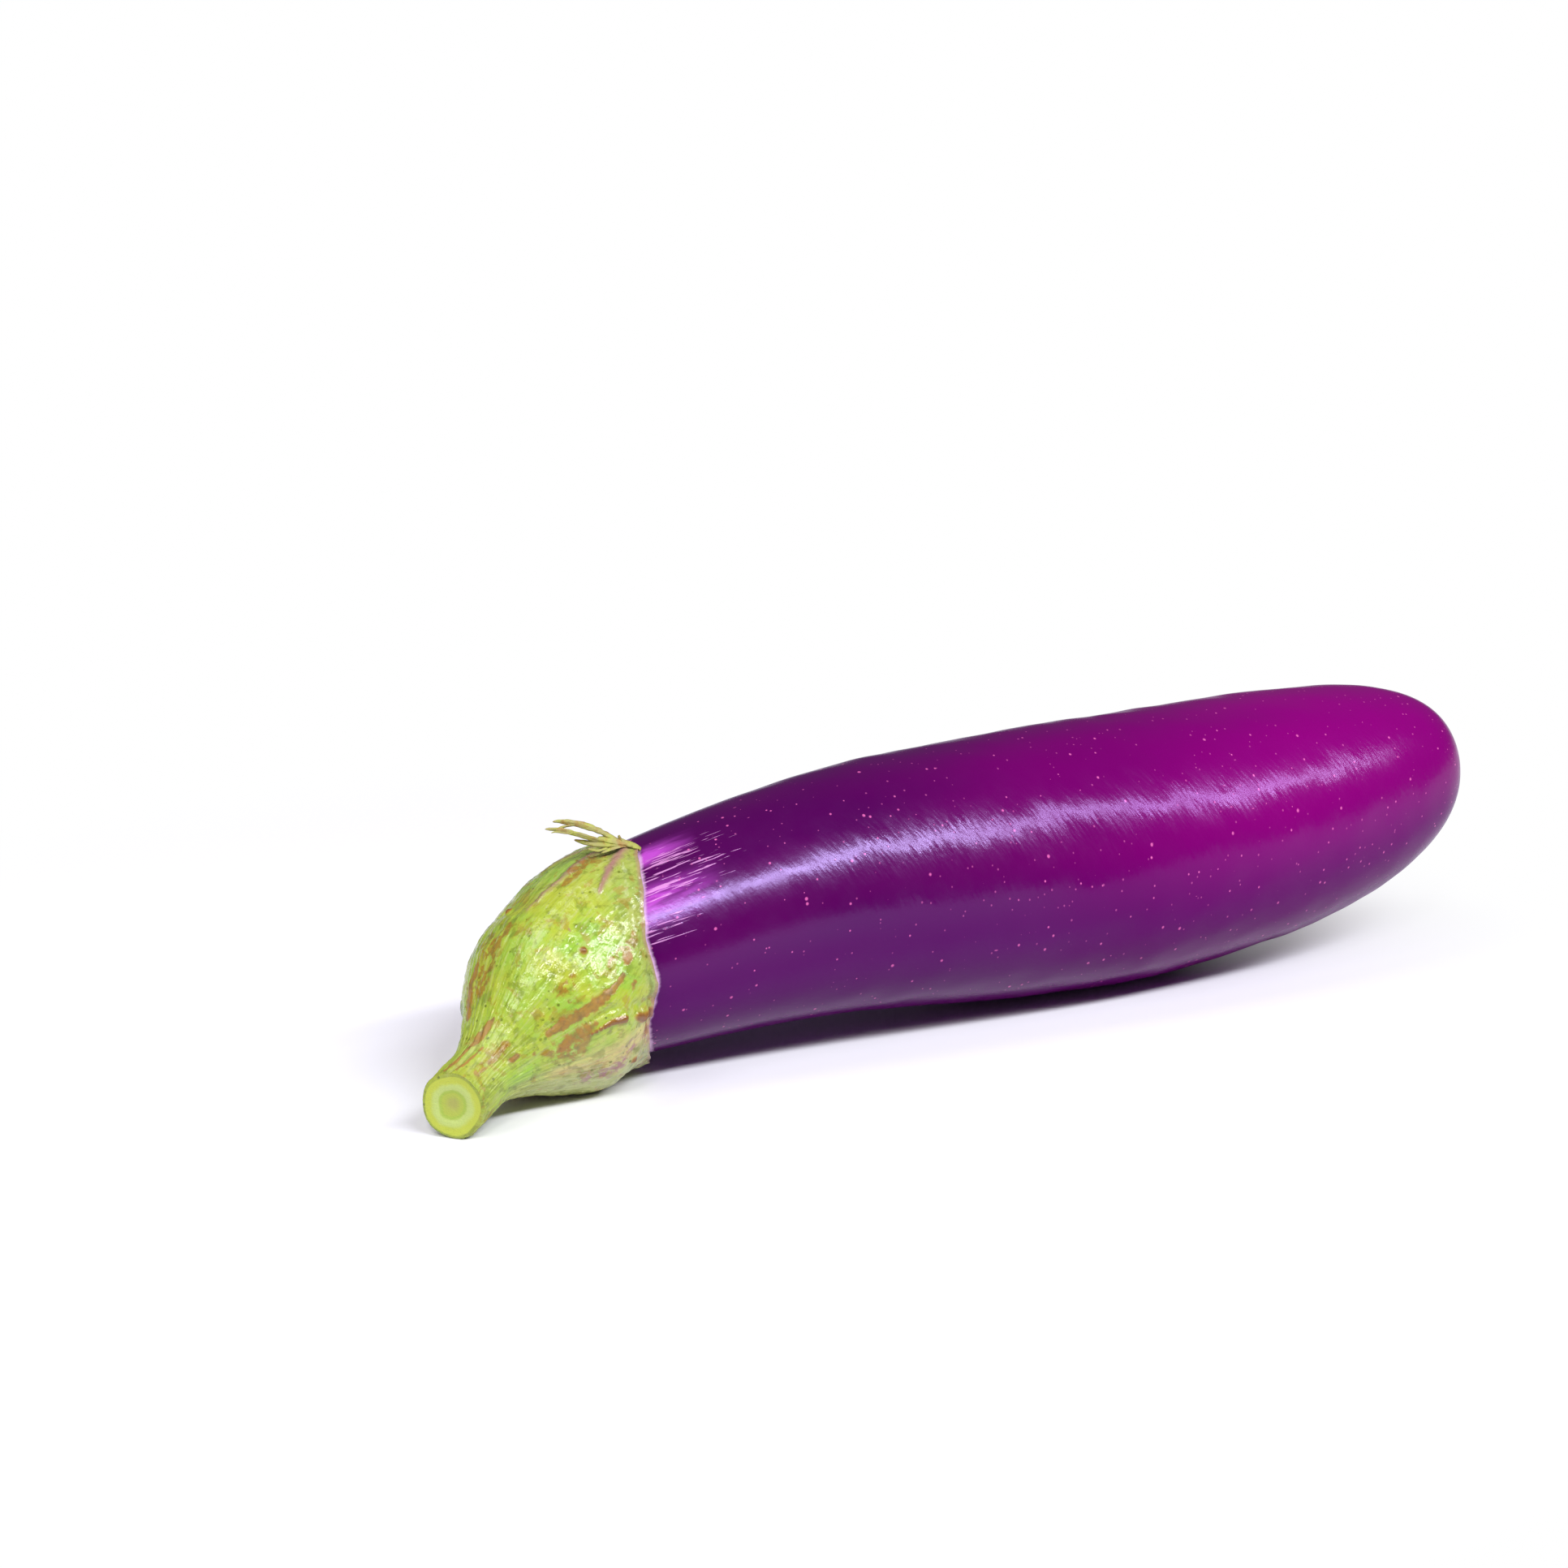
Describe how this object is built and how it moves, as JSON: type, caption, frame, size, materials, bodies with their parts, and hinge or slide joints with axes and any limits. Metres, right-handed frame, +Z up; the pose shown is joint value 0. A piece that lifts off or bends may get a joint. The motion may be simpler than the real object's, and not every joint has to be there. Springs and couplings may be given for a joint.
{
  "type": "eggplant",
  "caption": "Long purple eggplant lying on its belly, slim at the neck and round at the blossom end, with a green calyx cap and a cut stalk.",
  "frame": {"origin": "middle of the box round the whole object, on the surface that it lies on", "axes": "+X from the cut stalk to the blossom end, +Z up with the eggplant lying on its belly, +Y to its far side"},
  "size_m": [0.218, 0.05, 0.0499],
  "materials": {
    "purple_skin": "natural waxy eggplant skin: glossy vivid purple with pale streaks at the neck and small pink flecks",
    "green_calyx": "natural leathery calyx and fibrous stalk: satin yellow-green with brown corky scars and dark specks"
  },
  "bodies": {
    "root": {"fruit": "purple_skin", "calyx_stalk": "green_calyx"}
  },
  "joints": []
}
